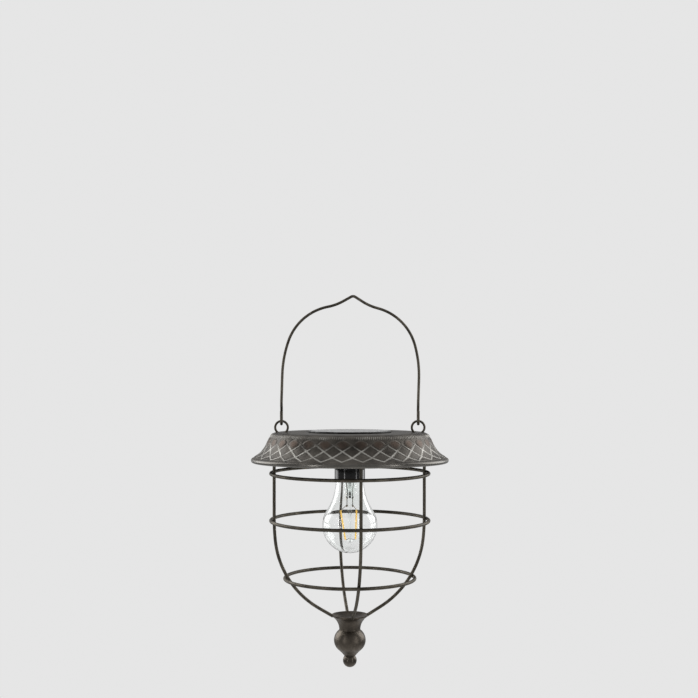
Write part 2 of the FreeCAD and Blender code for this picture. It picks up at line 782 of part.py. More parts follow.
def canopy_pieces():
    """The canopy and all that is fixed to it."""
    left_eye, right_eye = eye(-1), eye(1)
    return {
        "left_eye": left_eye,
        "right_eye": right_eye,
        "roof_cap": roof_cap().cut(left_eye).cut(right_eye),
        "module_housing": module_housing(),
        "solar_cell": solar_cell(),
        "solar_window": solar_window(),
        "module_seal": module_seal(),
        "retaining_ring": retaining_ring(),
        "housing_cover": housing_cover(),
        "housing_screws": housing_screws(),
        "battery_cell": battery_cell(),
        "battery_contact": battery_contact(),
        "battery_spring": battery_spring(),
        "battery_door": battery_door(),
        "circuit_board": circuit_board(),
        "board_parts": board_parts(),
        "switch_frame": switch_frame(),
        "switch_knob": switch_knob(),
        "lamp_holder": lamp_holder(),
        "bulb_glass": bulb_glass(),
        "bulb_cap": bulb_cap(),
        "bulb_stem": bulb_stem(),
        "filament_left": filament(-1),
        "filament_right": filament(1),
        "lead_wires": lead_wires(),
        "support_wires": support_wires(),
    }


def cage_pieces(roof):
    """The ribs, cut to fit under the roof, the hoops and the finial."""
    return {
        "rib_front": rib(CAGE_TURN - 90.0).cut(roof),
        "rib_right": rib(CAGE_TURN).cut(roof),
        "rib_back": rib(CAGE_TURN + 90.0).cut(roof),
        "rib_left": rib(CAGE_TURN + 180.0).cut(roof),
        "hoop_top": hoop(HOOP_TOP_Z),
        "hoop_middle": hoop(HOOP_MIDDLE_Z),
        "hoop_bottom": hoop(HOOP_BOTTOM_Z),
        "finial_cup": finial_cup(),
        "finial_ball": finial_ball(),
        "finial_tip": finial_tip(),
        "finial_stud": stud_room(),
    }


def main():
    """Build every node and write it. The canopy and its pieces sit on the cage tipped up in front."""
    os.makedirs("parts", exist_ok=True)
    pieces = canopy_pieces()
    for shape in pieces.values():
        shape.rotate(Vector(0, 0, HINGE_Z), Vector(1, 0, 0), -CANOPY_TIP)
    pieces.update(cage_pieces(pieces["roof_cap"]))
    for name, shape in pieces.items():
        save(name, shape.translate(Vector(-PEAK_OFFSET, 0, 0)))
    save("bail_wire", bail_wire())


main()
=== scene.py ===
import json
import logging
import math
from dataclasses import dataclass, replace
from enum import Enum

import bmesh
import bpy
from mathutils import Matrix, Vector


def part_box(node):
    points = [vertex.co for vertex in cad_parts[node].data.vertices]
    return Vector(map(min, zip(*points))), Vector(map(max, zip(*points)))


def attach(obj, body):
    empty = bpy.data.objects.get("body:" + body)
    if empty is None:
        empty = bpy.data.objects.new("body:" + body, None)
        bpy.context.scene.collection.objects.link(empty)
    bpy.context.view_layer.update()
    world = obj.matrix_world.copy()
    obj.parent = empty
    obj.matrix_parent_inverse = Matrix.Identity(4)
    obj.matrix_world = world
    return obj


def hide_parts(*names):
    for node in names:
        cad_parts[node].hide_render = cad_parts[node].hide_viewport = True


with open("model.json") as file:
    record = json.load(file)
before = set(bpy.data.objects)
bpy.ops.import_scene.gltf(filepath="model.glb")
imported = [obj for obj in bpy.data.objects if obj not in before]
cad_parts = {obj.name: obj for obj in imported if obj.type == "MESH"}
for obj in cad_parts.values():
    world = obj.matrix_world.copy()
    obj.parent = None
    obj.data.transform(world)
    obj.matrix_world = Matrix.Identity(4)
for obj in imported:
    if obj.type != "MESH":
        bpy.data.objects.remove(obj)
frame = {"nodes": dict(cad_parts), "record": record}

LOG = logging.getLogger("lantern")
MM = 0.001
NODES: dict[str, bpy.types.Object] = frame["nodes"]
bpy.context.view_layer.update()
AXIS_X = sum(corner[0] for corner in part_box("finial_tip")) / 2.0
HINGE_Z = next(joint["pos_m"][2] for joint in frame["record"]["behaviour"]["joints"]
               if joint["name"] == "lantern_swing")
CANOPY_TIP = math.radians(1.2)
RELIEF = "relief"
BOSS = "boss"
RIM = "rim"


# ---------------------------------------------------------------- colours and nodes


def linear(hex_colour: str, alpha: float = 1.0) -> tuple[float, float, float, float]:
    """Turn an sRGB hex colour into linear values.

    Args:
        hex_colour: six hex digits after a hash sign.
        alpha: the fourth value of the result.

    Returns:
        Red, green, blue and alpha.
    """
    def channel(value: int) -> float:
        """One channel from 0..255 to linear."""
        share = value / 255.0
        return share / 12.92 if share <= 0.04045 else ((share + 0.055) / 1.055) ** 2.4

    digits = hex_colour.lstrip("#")
    red, green, blue = (channel(int(digits[i:i + 2], 16)) for i in (0, 2, 4))
    return red, green, blue, alpha


def add(tree: bpy.types.NodeTree, kind: str, inputs: dict | None = None,
        **settings: object) -> bpy.types.Node:
    """Add one node with its settings and links.

    Args:
        tree: the node tree that gets the node.
        kind: the node's type name.
        inputs: socket name or index to a constant or to the socket that feeds it.
        settings: attributes of the node itself.

    Returns:
        The new node.
    """
    node = tree.nodes.new(kind)
    for name, value in settings.items():
        setattr(node, name, value)
    for name, value in (inputs or {}).items():
        if isinstance(value, bpy.types.NodeSocket):
            tree.links.new(value, node.inputs[name])
        else:
            node.inputs[name].default_value = value
    return node


def ramp(tree: bpy.types.NodeTree, factor: bpy.types.NodeSocket,
         stops: list[tuple[float, tuple[float, float, float, float]]]) -> bpy.types.NodeSocket:
    """Spread colours or greys over a factor.

    Args:
        tree: the node tree.
        factor: the socket read.
        stops: position and colour of each stop, in order.

    Returns:
        The colour socket.
    """
    node = add(tree, "ShaderNodeValToRGB", {"Fac": factor})
    elements = node.color_ramp.elements
    while len(elements) < len(stops):
        elements.new(1.0)
    for element, (position, colour) in zip(elements, stops):
        element.position = position
        element.color = colour
    return node.outputs["Color"]


def grey(value: float) -> tuple[float, float, float, float]:
    """A linear grey."""
    return value, value, value, 1.0


def blank_material(name: str) -> tuple[bpy.types.Material, bpy.types.NodeTree, bpy.types.Node]:
    """Start a material.

    Args:
        name: the finish's name.

    Returns:
        The material, its tree and its Principled node, already linked to the output.
    """
    material = bpy.data.materials.new(name)
    material.use_nodes = True
    tree = material.node_tree
    tree.nodes.clear()
    shader = add(tree, "ShaderNodeBsdfPrincipled")
    add(tree, "ShaderNodeOutputMaterial", {"Surface": shader.outputs["BSDF"]})
    return material, tree, shader


# ---------------------------------------------------------------- finishes


class Brushing(Enum):
    """Where the dry-brushed highlight of the antique paint lies."""

    RELIEF = "on the raised pattern of the pressed sheet"
    STREAKS = "in long streaks along drawn wire"
    EDGES = "in broad soft patches on a turned casting"


@dataclass(frozen=True)
class AntiquePaint:
    """Dark bronze paint, sprayed on steel, rubbed back and dry-brushed with silver grey."""

    name: str
    brushing: Brushing
    ground: str = "#504C47"
    patina: str = "#5F5B55"
    dust: str = "#3E3B37"
    brushed: str = "#B9B7B1"
    # Warm tone of the bosses' middles, partly a painted highlight.
    copper_and_highlight: str = "#5F4D42"
    metallic: float = 0.85
    roughness: float = 0.42
    blotch_mm: float = 14.0
    grain_mm: float = 0.9
    streak: tuple[float, float, float] = (1.0, 1.0, 0.12)
    streaks_per_m: float = 200.0
    patches_per_m: float = 90.0
    gloss_drift: tuple[float, float] = (-0.08, 0.1)
    grain_depth_mm: float = 0.12
    bump: float = 0.16
    rim_bump: float = 0.05
    rim_polish: float = 0.16
    # How much lighter the bead is: partly wear, partly a painted highlight.
    rim_wipe_and_highlight: float = 0.22
    relief_wear: tuple[float, float, float] = (0.05, 0.26, 0.85)
    streak_wear: tuple[float, float, float] = (0.48, 0.78, 0.4)

    def make(self) -> bpy.types.Material:
        """Build the material.

        Returns:
            Antique bronze paint: dark, satin, mottled, with worn silver-grey highlights and some painted
                highlights.
        """
        material, tree, shader = blank_material(self.name)
        place = add(tree, "ShaderNodeTexCoord").outputs["Object"]
        # Uneven spraying: soft brown and grey clouds.
        blotch = add(tree, "ShaderNodeTexNoise", {
            "Vector": place, "Scale": 1.0 / (self.blotch_mm * MM), "Detail": 4.0, "Roughness": 0.6})
        ground = ramp(tree, blotch.outputs["Fac"], [
            (0.32, linear(self.dust)), (0.5, linear(self.ground)), (0.7, linear(self.patina))])
        # Paint grain: what keeps the highlight from being glassy.
        grain = add(tree, "ShaderNodeTexNoise", {
            "Vector": place, "Scale": 1.0 / (self.grain_mm * MM), "Detail": 3.0, "Roughness": 0.65})
        rim = add(tree, "ShaderNodeAttribute", attribute_name=RIM).outputs["Fac"]
        if self.brushing is Brushing.RELIEF:
            # The bosses take a warm copper tone, strongest in their middles, which also serves as a painted
            # highlight on each dome.
            boss = add(tree, "ShaderNodeAttribute", attribute_name=BOSS).outputs["Fac"]
            uneven = add(tree, "ShaderNodeMath", {0: boss, 1: blotch.outputs["Fac"]}, operation="MULTIPLY")
            warm_and_highlit = add(tree, "ShaderNodeMix", {
                "Factor": uneven.outputs[0], "A": ground, "B": linear(self.copper_and_highlight)}, data_type="RGBA")
            ground = warm_and_highlit.outputs["Result"]
        mask = self.brush_mask(tree, place, grain.outputs["Fac"])
        # The bead at the edge is lighter than the rest: partly wiped cleaner, partly a painted highlight for the
        # light it catches.
        wiped_and_highlit = add(tree, "ShaderNodeMath", {0: rim, 1: self.rim_wipe_and_highlight, 2: mask}, operation="MULTIPLY_ADD")
        worn = add(tree, "ShaderNodeMix", {
            "Factor": wiped_and_highlit.outputs[0], "A": ground, "B": linear(self.brushed)}, data_type="RGBA")
        gloss = add(tree, "ShaderNodeMapRange", {
            "Value": blotch.outputs["Fac"], "From Min": 0.3, "From Max": 0.7,
            "To Min": self.roughness + self.gloss_drift[0],
            "To Max": self.roughness + self.gloss_drift[1]})
        coarse = add(tree, "ShaderNodeMapRange", {
            "Value": rim, "To Min": self.bump, "To Max": self.rim_bump})
        bump = add(tree, "ShaderNodeBump", {
            "Height": grain.outputs["Fac"], "Strength": coarse.outputs["Result"],
            "Distance": self.grain_depth_mm * MM})
        tree.links.new(worn.outputs["Result"], shader.inputs["Base Color"])
        sheen = add(tree, "ShaderNodeMath", {0: rim, 1: -self.rim_polish, 2: gloss.outputs["Result"]},
                    operation="MULTIPLY_ADD")
        tree.links.new(sheen.outputs[0], shader.inputs["Roughness"])
        tree.links.new(bump.outputs["Normal"], shader.inputs["Normal"])
        shader.inputs["Metallic"].default_value = self.metallic
        return material

    def brush_mask(self, tree: bpy.types.NodeTree, place: bpy.types.NodeSocket,
                   grain: bpy.types.NodeSocket) -> bpy.types.NodeSocket:
        """Say where the dry brush left its silver grey; on the sheet this also holds painted highlights.

        Args:
            tree: the material's tree.
            place: object coordinates.
            grain: the paint grain, which breaks the mask up.

        Returns:
            A mask from 0 to 1.
        """
        if self.brushing is Brushing.RELIEF:
            relief = add(tree, "ShaderNodeAttribute", attribute_name=RELIEF).outputs["Fac"]
            patch = add(tree, "ShaderNodeTexNoise", {
                "Vector": place, "Scale": self.patches_per_m, "Detail": 3.0})
            broken = add(tree, "ShaderNodeMath", {0: patch.outputs["Fac"], 1: relief}, operation="MULTIPLY")
            soft = add(tree, "ShaderNodeMath", {0: broken.outputs[0], 1: grain}, operation="MULTIPLY")
            return add(tree, "ShaderNodeMapRange", {
                "Value": soft.outputs[0], "From Min": self.relief_wear[0],
                "From Max": self.relief_wear[1], "To Min": 0.0, "To Max": self.relief_wear[2]}).outputs["Result"]
        stretched = add(tree, "ShaderNodeMapping", {"Vector": place, "Scale": self.streak})
        per_metre = self.streaks_per_m if self.brushing is Brushing.STREAKS else self.patches_per_m
        patch = add(tree, "ShaderNodeTexNoise", {
            "Vector": stretched.outputs["Vector"], "Scale": per_metre,
            "Detail": 4.0, "Roughness": 0.6})
        return add(tree, "ShaderNodeMapRange", {
            "Value": patch.outputs["Fac"], "From Min": self.streak_wear[0],
            "From Max": self.streak_wear[1], "To Min": 0.0, "To Max": self.streak_wear[2]}).outputs["Result"]


@dataclass(frozen=True)
class MouldedAbs:
    """Injection-moulded ABS: polished or with a fine spark-eroded texture."""

    name: str
    colour: str = "#0E0E0F"
    roughness: float = 0.12
    texture_mm: float = 0.0
    wobble_mm: float = 18.0

    def make(self) -> bpy.types.Material:
        """Build the material.

        Returns:
            Moulded plastic: polished it mirrors softly, textured it scatters light evenly.
        """
        material, tree, shader = blank_material(self.name)
        place = add(tree, "ShaderNodeTexCoord").outputs["Object"]
        wobble = add(tree, "ShaderNodeTexNoise", {
            "Vector": place, "Scale": 1.0 / (self.wobble_mm * MM), "Detail": 2.0})
        shade = ramp(tree, wobble.outputs["Fac"], [
            (0.35, linear(self.colour)), (0.75, tuple(1.35 * c for c in linear(self.colour)[:3]) + (1.0,))])
        gloss = add(tree, "ShaderNodeMapRange", {
            "Value": wobble.outputs["Fac"], "From Min": 0.3, "From Max": 0.7,
            "To Min": self.roughness, "To Max": self.roughness + 0.06})
        tree.links.new(shade, shader.inputs["Base Color"])
        tree.links.new(gloss.outputs["Result"], shader.inputs["Roughness"])
        if self.texture_mm > 0.0:
            pits = add(tree, "ShaderNodeTexNoise", {
                "Vector": place, "Scale": 1.0 / (self.texture_mm * MM), "Detail": 2.0})
            bump = add(tree, "ShaderNodeBump", {
                "Height": pits.outputs["Fac"], "Strength": 0.5, "Distance": 0.05 * MM})
            tree.links.new(bump.outputs["Normal"], shader.inputs["Normal"])
        shader.inputs["IOR"].default_value = 1.54
        return material


@dataclass(frozen=True)
class ClearGlass:
    """Blown or moulded clear glass with a trace of colour in its thickness."""

    name: str
    tint: str = "#FBFDFC"
    roughness: float = 0.0
    ior: float = 1.45
    waves_per_m: float = 45.0
    wave_depth_mm: float = 0.1
    wave_strength: float = 0.03

    def make(self) -> bpy.types.Material:
        """Build the material.

        Returns:
            Clear glass: faint slow waves from blowing bend its highlights a little.
        """
        material, tree, shader = blank_material(self.name)
        place = add(tree, "ShaderNodeTexCoord").outputs["Object"]
        waves = add(tree, "ShaderNodeTexNoise", {
            "Vector": place, "Scale": self.waves_per_m, "Detail": 1.0})
        tint = ramp(tree, waves.outputs["Fac"], [(0.3, linear(self.tint)), (0.7, linear("#FFFFFF"))])
        bump = add(tree, "ShaderNodeBump", {
            "Height": waves.outputs["Fac"], "Strength": self.wave_strength,
            "Distance": self.wave_depth_mm * MM})
        tree.links.new(tint, shader.inputs["Base Color"])
        tree.links.new(bump.outputs["Normal"], shader.inputs["Normal"])
        shader.inputs["Roughness"].default_value = self.roughness
        shader.inputs["IOR"].default_value = self.ior
        shader.inputs["Transmission Weight"].default_value = 1.0
        return material


@dataclass(frozen=True)
class SiliconCell:
    """Polycrystalline silicon with printed silver fingers and two bus bars."""

    name: str
    crystals_per_m: float = 160.0
    finger_mm: float = 2.2
    finger_width_mm: float = 0.18
    bus_mm: float = 22.0
    bus_width_mm: float = 1.4

    def make(self) -> bpy.types.Material:
        """Build the material.

        Returns:
            Silicon cell: blue-black crystals, each a slightly different blue, under thin silver lines.
        """
        material, tree, shader = blank_material(self.name)
        place = add(tree, "ShaderNodeTexCoord").outputs["Object"]
        crystal = add(tree, "ShaderNodeTexVoronoi", {
            "Vector": place, "Scale": self.crystals_per_m, "Randomness": 1.0})
        blue = ramp(tree, crystal.outputs["Color"], [
            (0.1, linear("#0B1020")), (0.5, linear("#141C36")), (0.9, linear("#1E2A4C"))])
        split = add(tree, "ShaderNodeSeparateXYZ", {"Vector": place})
        fingers = self.lines(tree, split.outputs["X"], self.finger_mm, self.finger_width_mm)
        buses = self.lines(tree, split.outputs["Y"], self.bus_mm, self.bus_width_mm)
        silver = add(tree, "ShaderNodeMath", {0: fingers, 1: buses}, operation="MAXIMUM")
        colour = add(tree, "ShaderNodeMix", {"Factor": silver.outputs[0], "A": blue, "B": linear("#B9BCC0")},
                     data_type="RGBA")
        tree.links.new(colour.outputs["Result"], shader.inputs["Base Color"])
        tree.links.new(silver.outputs[0], shader.inputs["Metallic"])
        shader.inputs["Roughness"].default_value = 0.3
        return material

    @staticmethod
    def lines(tree: bpy.types.NodeTree, across: bpy.types.NodeSocket, pitch_mm: float,
              width_mm: float) -> bpy.types.NodeSocket:
        """Draw parallel lines.

        Args:
            tree: the material's tree.
            across: the coordinate at right angles to the lines.
            pitch_mm: distance between two lines.
            width_mm: width of a line.

        Returns:
            1 on a line and 0 beside it.
        """
        shifted = add(tree, "ShaderNodeMath", {0: across, 1: 0.5 * pitch_mm * MM}, operation="ADD")
        share = add(tree, "ShaderNodeMath", {0: shifted.outputs[0], 1: 0.5 * pitch_mm * MM},
                    operation="PINGPONG")
        return add(tree, "ShaderNodeMath", {0: share.outputs[0], 1: 0.5 * width_mm * MM},
                   operation="LESS_THAN").outputs[0]


@dataclass(frozen=True)
class PhosphorCoat:
    """Silicone with yellow phosphor, moulded round a row of light-emitting chips."""

    name: str
    grains_per_m: float = 2500.0
    glow: float = 0.45

    def make(self) -> bpy.types.Material:
        """Build the material.

        Returns:
            Phosphor coat: waxy yellow, a little translucent, with fine grains.
        """
        material, tree, shader = blank_material(self.name)
        place = add(tree, "ShaderNodeTexCoord").outputs["Object"]
        grains = add(tree, "ShaderNodeTexNoise", {
            "Vector": place, "Scale": self.grains_per_m, "Detail": 2.0})
        yellow = ramp(tree, grains.outputs["Fac"], [(0.3, linear("#F8BE40")), (0.7, linear("#FFE08A"))])
        tree.links.new(yellow, shader.inputs["Base Color"])
        shader.inputs["Roughness"].default_value = 0.45
        shader.inputs["Subsurface Weight"].default_value = 0.25
        shader.inputs["Subsurface Radius"].default_value = (0.6 * MM, 0.4 * MM, 0.2 * MM)
        shader.inputs["Emission Color"].default_value = linear("#FFCF5A")
        shader.inputs["Emission Strength"].default_value = self.glow
        return material


@dataclass(frozen=True)
class PlatedMetal:
    """Nickel or zinc plate on drawn wire and stamped strip."""

    name: str
    colour: str = "#B9B4AA"
    roughness: float = 0.28
    scratch_mm: float = 0.4

    def make(self) -> bpy.types.Material:
        """Build the material.

        Returns:
            Plated metal: grey mirror dulled by fine rolling lines.
        """
        material, tree, shader = blank_material(self.name)
        place = add(tree, "ShaderNodeTexCoord").outputs["Object"]
        stretched = add(tree, "ShaderNodeMapping", {"Vector": place, "Scale": (1.0, 1.0, 0.1)})
        lines = add(tree, "ShaderNodeTexNoise", {
            "Vector": stretched.outputs["Vector"], "Scale": 1.0 / (self.scratch_mm * MM), "Detail": 3.0})
        shade = ramp(tree, lines.outputs["Fac"], [
            (0.3, tuple(0.75 * c for c in linear(self.colour)[:3]) + (1.0,)), (0.7, linear(self.colour))])
        gloss = add(tree, "ShaderNodeMapRange", {
            "Value": lines.outputs["Fac"], "To Min": self.roughness - 0.06, "To Max": self.roughness + 0.12})
        tree.links.new(shade, shader.inputs["Base Color"])
        tree.links.new(gloss.outputs["Result"], shader.inputs["Roughness"])
        shader.inputs["Metallic"].default_value = 1.0
        return material


@dataclass(frozen=True)
class CoatedSheet:
    """A plain coloured coat with a soft mottle: solder mask, a shrink sleeve or sheet rubber."""

    name: str
    colour: str
    second: str
    roughness: float
    mottle_mm: float = 1.5

    def make(self) -> bpy.types.Material:
        """Build the material.

        Returns:
            A coat whose colour and gloss drift a little over its surface.
        """
        material, tree, shader = blank_material(self.name)
        place = add(tree, "ShaderNodeTexCoord").outputs["Object"]
        mottle = add(tree, "ShaderNodeTexNoise", {
            "Vector": place, "Scale": 1.0 / (self.mottle_mm * MM), "Detail": 4.0})
        colour = ramp(tree, mottle.outputs["Fac"], [(0.35, linear(self.colour)), (0.65, linear(self.second))])
        bump = add(tree, "ShaderNodeBump", {
            "Height": mottle.outputs["Fac"], "Strength": 0.3, "Distance": 0.04 * MM})
        tree.links.new(colour, shader.inputs["Base Color"])
        tree.links.new(bump.outputs["Normal"], shader.inputs["Normal"])
        shader.inputs["Roughness"].default_value = self.roughness
        return material


# ---------------------------------------------------------------- shared mesh work


@dataclass(frozen=True)
class Bend:
    """A round stretch of an outline: a positive angle turns it to the left."""

    radius: float
    degrees: float
    steps: int


@dataclass(frozen=True)
class Run:
    """A straight stretch of an outline."""

    length: float
    steps: int


def outline(start: tuple[float, float], heading: float,
            moves: list[Bend | Run]) -> list[tuple[float, float, float]]:
    """Walk an outline of straight and round stretches.

    Args:
        start: first point, in millimetres.
        heading: first direction, in degrees.
        moves: the stretches in order.

    Returns:
        Points along the outline, each with the heading there in radians.
    """
    u, v = start
    angle = math.radians(heading)
    points = [(u, v, angle)]
    for move in moves:
        if isinstance(move, Run):
            for _ in range(move.steps):
                u += move.length / move.steps * math.cos(angle)
                v += move.length / move.steps * math.sin(angle)
                points.append((u, v, angle))
            continue
        side = math.copysign(move.radius, move.degrees)
        centre = (u - side * math.sin(angle), v + side * math.cos(angle))
        first = angle
        for step in range(1, move.steps + 1):
            angle = first + math.radians(move.degrees) * step / move.steps
            u = centre[0] + side * math.sin(angle)
            v = centre[1] - side * math.cos(angle)
            points.append((u, v, angle))
    return points


def finish_mesh(bm: bmesh.types.BMesh, name: str, material: bpy.types.Material,
                smooth: bool = True) -> bpy.types.Object:
    """Turn a bmesh into a piece of the lantern.

    Args:
        bm: the finished mesh, in metres from the lantern's own axis; it is freed.
        name: the piece's name.
        material: its finish.
        smooth: whether its faces are shaded smooth.

    Returns:
        The new object, at the origin.
    """
    mesh = bpy.data.meshes.new(name)
    bmesh.ops.translate(bm, verts=bm.verts, vec=(AXIS_X, 0.0, 0.0))
    bm.to_mesh(mesh)
    bm.free()
    for polygon in mesh.polygons:
        polygon.use_smooth = smooth
    mesh.materials.append(material)
    piece = bpy.data.objects.new(name, mesh)
    bpy.context.scene.collection.objects.link(piece)
    LOG.info("%s: %d faces", name, len(mesh.polygons))
    return piece


def tip_with_canopy(bm: bmesh.types.BMesh) -> None:
    """Tip a mesh up in front with the canopy, about the line through its two eyes."""
    bmesh.ops.rotate(bm, verts=bm.verts, cent=(0.0, 0.0, HINGE_Z),
                     matrix=Matrix.Rotation(-CANOPY_TIP, 3, "X"))


def sweep_wire(bm: bmesh.types.BMesh, points: list[Vector], radius: float, sides: int = 12) -> None:
    """Draw a round wire through a few points, closed at both ends.

    Args:
        bm: the mesh that gets it.
        points: places in millimetres.
        radius: half its thickness in millimetres.
        sides: faces round it.
    """
    ring = bmesh.ops.create_circle(bm, cap_ends=True, segments=sides, radius=radius * MM)["verts"]
    heading = (points[1] - points[0]).to_track_quat("Z", "Y").to_matrix().to_4x4()
    bmesh.ops.transform(bm, matrix=Matrix.Translation(points[0] * MM) @ heading, verts=ring)
    face = next(face for face in ring[0].link_faces)
    for index in range(1, len(points)):
        made = bmesh.ops.extrude_face_region(bm, geom=[face])
        verts = [item for item in made["geom"] if isinstance(item, bmesh.types.BMVert)]
        face = next(item for item in made["geom"] if isinstance(item, bmesh.types.BMFace))
        bmesh.ops.translate(bm, verts=verts, vec=(points[index] - points[index - 1]) * MM)


def dress(material: bpy.types.Material, *nodes: str) -> None:
    """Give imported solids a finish.

    Args:
        material: the finish.
        nodes: names of the solids.
    """
    for name in nodes:
        slots = NODES[name].material_slots
        for slot in slots:
            slot.material = material
        LOG.info("%s: %s", name, material.name)


# ---------------------------------------------------------------- the canopy


@dataclass
class Canopy:
    """The pressed canopy: flat top, round shoulder, embossed flared skirt and curled rim."""

    top_z: float = -146.8
    hole_r: float = 39.6
    flat_r: float = 79.95
    shoulder_r: float = 7.4
    skirt_slope: float = 64.0
    skirt_run: float = 10.1
    flare_r: float = 30.5
    end_slope: float = 24.0
    curl_r: float = 2.655
    curl_turn: float = 290.0
    curl_steps: int = 14
    sheet: float = 0.8
    segments: int = 960
    cells: int = 30
    first_tip: float = -82.6
    rows: tuple[float, ...] = (26.5, 22.8, 16.6, 10.4, 5.5)
    ridge_width: float = 1.8
    ridge_height: float = 0.55
    pillow: float = 0.35
    boss: float = 0.6
    boss_level: float = 3.15
    boss_rise: float = 0.85
    boss_width: float = 0.36
    groove: float = 0.25
    groove_width: float = 0.5
    pillow_width: float = 2.2
    fade_level: float = 2.0
    fade_rate: float = 0.38
    fade_least: float = 0.25
    glint: float = 0.3
    glint_level: float = 4.15
    glint_size: tuple[float, float] = (0.16, 0.3)
    edge_fade: tuple[float, float] = (1.6, 1.2)
    rope_low: float = 5.3
    rope_high: float = 1.3
    rope_ticks: int = 8
    rope_slant: float = 0.55
    rope_height: float = 0.55

    def moves(self, shift: float) -> list[Bend | Run]:
        """The outline's stretches, on the outer face or shifted in by a sheet's thickness."""
        turn = self.skirt_slope - self.end_slope
        # The hidden inner face has no embossing, so it is made with fewer steps.
        steps = (12, 16, 30, self.curl_steps) if shift == 0.0 else (3, 4, 7, self.curl_steps - 3)
        return [
            Run(self.flat_r - self.hole_r, 2),
            Bend(self.shoulder_r - shift, -self.skirt_slope, steps[0]),
            Run(self.skirt_run, steps[1]),
            Bend(self.flare_r + shift, turn, steps[2]),
            Bend(self.curl_r - shift, -self.curl_turn, steps[3]),
        ]

    def level(self, drop: float) -> float:
        """Turn a drop below the top into the lattice's row number.

        Args:
            drop: millimetres below the flat top.

        Returns:
            0 at the lowest tips, then 1, 2, 3 at the crossings and 4 at the tops of the arches.
        """
        rows = self.rows
        if drop >= rows[0]:
            return (rows[0] - drop) / (rows[0] - rows[1])
        for index in range(len(rows) - 1):
            if drop >= rows[index + 1]:
                return index + (rows[index] - drop) / (rows[index] - rows[index + 1])
        return len(rows) - 1 + (rows[-1] - drop) / (rows[-2] - rows[-1])

    def relief(self, azimuth: float, radius: float, drop: float, slope: float) -> tuple[float, float, float]:
        """Height of the embossing at one place.

        Args:
            azimuth: degrees round the axis.
            radius: millimetres from the axis.
            drop: millimetres below the flat top.
            slope: the outline's steepness there, in radians.

        Returns:
            Height in millimetres, and how much of a ridge and of a boss it is, from 0 to 1.
        """
        cell = (azimuth - self.first_tip) * self.cells / 360.0
        rope = self.rope(cell, drop)
        if drop > self.rows[0] + 2.0 or drop < self.rope_high - 0.5:
            return rope * self.rope_height, rope, 0.0
        level = self.level(drop)
        row = min(max(int(level), 0), len(self.rows) - 2)
        rise = (self.rows[row] - self.rows[row + 1]) / max(math.sin(slope), 0.35)
        width = math.radians(360.0 / self.cells) * radius
        beside = abs(cell - round(cell))
        distance = self.ridge_distance(cell, level, width, rise)
        fading = min(1.0, max(self.fade_least, 1.0 - self.fade_rate * (level - self.fade_level)))
        ridge = fading * math.exp(-((distance / (0.5 * self.ridge_width)) ** 2))
        boss, inside = self.bulge(beside, level, distance)
        # Painted highlight: a small bright spot on each tip's line just above its boss, added to the share that
        # the paint turns silver.
        above = (level - self.glint_level) / self.glint_size[1]
        glint = math.exp(-((beside / self.glint_size[0]) ** 2) - above ** 2)
        height = self.ridge_height * ridge + boss + rope * self.rope_height
        return height, max(ridge * fading, rope, self.glint * glint), inside

    def ridge_distance(self, cell: float, level: float, width: float, rise: float) -> float:
        """Distance to the nearest diagonal ridge.

        Args:
            cell: cells round the axis.
            level: row number.
            width: a cell's width in millimetres.
            rise: the height of this row along the sheet, in millimetres.

        Returns:
            Millimetres.
        """
        if level < 0.0:
            return math.hypot((cell - round(cell)) * width, level * rise)
        lean = width / 2.0 / rise
        scale = width / math.sqrt(1.0 + lean * lean)
        offsets = (cell - level / 2.0, cell + level / 2.0)
        return min(abs(offset - round(offset)) for offset in offsets) * scale

    def bulge(self, beside: float, level: float, distance: float) -> tuple[float, float]:
        """Height of the soft pillow or the egg-shaped boss inside a cell.

        Args:
            beside: cells from the nearest tip's line.
            level: row number.
            distance: millimetres from the nearest ridge.

        Returns:
            Height in millimetres, and how much of a boss it is.
        """
        if 2.0 < level < 4.3:
            along = (level - self.boss_level) / self.boss_rise
            narrow = 1.0 - 0.45 * max(0.0, -along) ** 1.5
            inside = 1.0 - (beside / (self.boss_width * narrow)) ** 2 - along * along
            if inside > 0.0:
                return self.boss * math.sqrt(inside), min(1.0, inside * 1.2)
            if inside > -self.groove_width:
                return -self.groove * math.sin(math.pi * -inside / self.groove_width), 0.0
        if 0.0 < level < 3.0:
            return self.pillow * (1.0 - math.exp(-((distance / self.pillow_width) ** 2))), 0.0
        return 0.0, 0.0

    def rope(self, cell: float, drop: float) -> float:
        """The slanting ticks of the rope edge.

        Args:
            cell: cells round the axis.
            drop: millimetres below the flat top.

        Returns:
            Height from 0 to 1.
        """
        if not self.rope_high < drop < self.rope_low:
            return 0.0
        share = (drop - self.rope_high) / (self.rope_low - self.rope_high)
        wave = math.sin(2.0 * math.pi * (cell * self.rope_ticks + self.rope_slant * share))
        tick = max(0.0, wave) ** 0.7 * math.sin(math.pi * share) ** 0.6
        # The die pressed some stretches of the edge deeper than others.
        return tick * (0.75 + 0.25 * math.sin(cell * 2.4))

